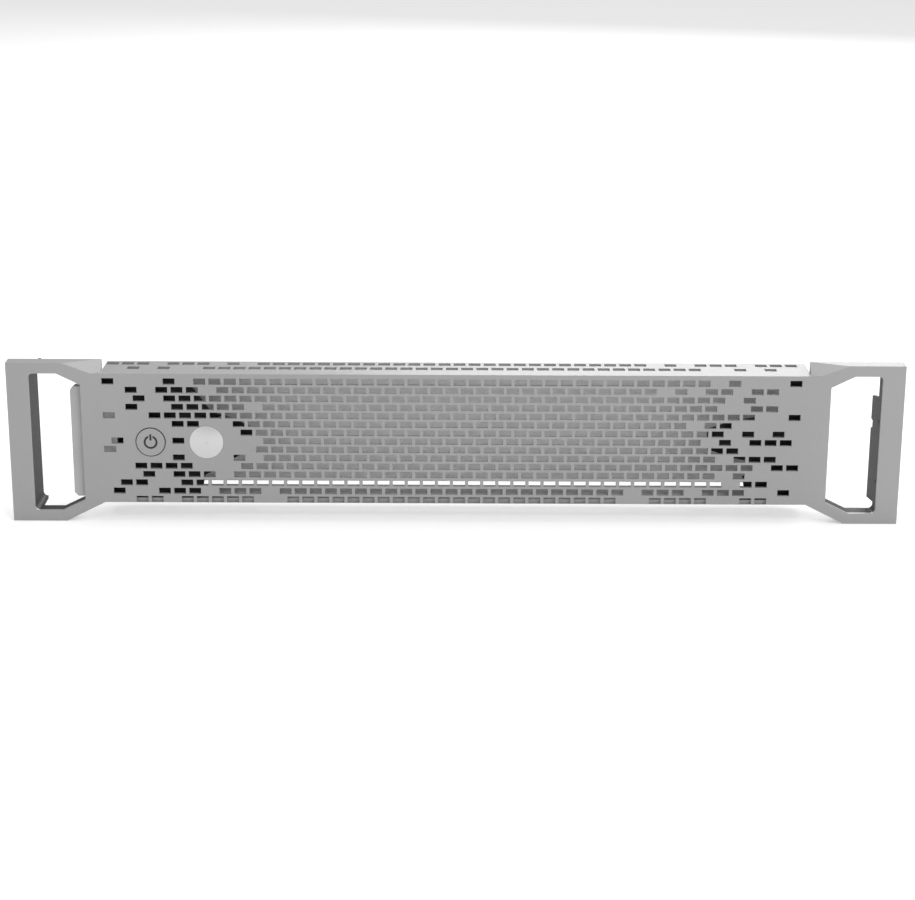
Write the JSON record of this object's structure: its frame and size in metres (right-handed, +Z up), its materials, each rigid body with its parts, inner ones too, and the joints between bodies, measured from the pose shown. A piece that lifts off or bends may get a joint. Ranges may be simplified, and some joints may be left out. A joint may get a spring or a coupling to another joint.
{
  "type": "server front bezel",
  "caption": "Front bezel for a 2U rack server: perforated silver face between two handle ears, with power button, badge disc and release latch.",
  "frame": {"origin": "centre of the bounding box, in the vertical plane midway between the ears' ends", "axes": "+X along the bezel to the right as seen from the front, -Y out of the front face, +Z up"},
  "size_m": [0.48, 0.0278, 0.0886],
  "materials": {
    "silver_paint": "satin",
    "black_plastic": "matte",
    "grey_plastic": "satin",
    "bright_disc": "polished",
    "smoked_clear": "gloss",
    "steel": "brushed",
    "rubber": "matte"
  },
  "bodies": {
    "base": {"front_shell": "silver_paint", "left_inner_frame": "black_plastic", "right_inner_frame": "black_plastic", "badge_disc": "bright_disc", "badge_push_nut": "steel", "button_spring": "steel", "upper_light_pipe": "smoked_clear", "middle_light_pipe": "smoked_clear", "lower_light_pipe": "smoked_clear", "light_pipe_clamp": "black_plastic", "upper_latch_spring": "steel", "lower_latch_spring": "steel", "latch_cover": "black_plastic", "latch_cover_screws": "steel", "left_frame_screws": "steel", "right_frame_screws": "steel", "right_hook_plate": "black_plastic", "hook_plate_screws": "steel", "left_guide_pin": "steel", "right_guide_pin": "steel", "left_bumpers": "rubber", "right_bumpers": "rubber"},
    "button": {"power_button": "silver_paint", "power_symbol": "black_plastic", "button_clip": "steel"},
    "latch": {"release_slider": "grey_plastic", "upper_latch_hook": "steel", "lower_latch_hook": "steel", "hook_screws": "steel"}
  },
  "joints": [
    {"name": "button_press", "type": "slide", "parent": "base", "child": "button", "axis": [0, 1, 0], "range_m": [0, 0.0015], "stiffness_N_per_m": 300, "springref_m": -0.001, "deforming": ["button_spring"]},
    {"name": "latch_slide", "type": "slide", "parent": "base", "child": "latch", "axis": [1, 0, 0], "range_m": [0, 0.004], "stiffness_N_per_m": 300, "springref_m": -0.002, "deforming": ["upper_latch_spring", "lower_latch_spring"]}
  ]
}
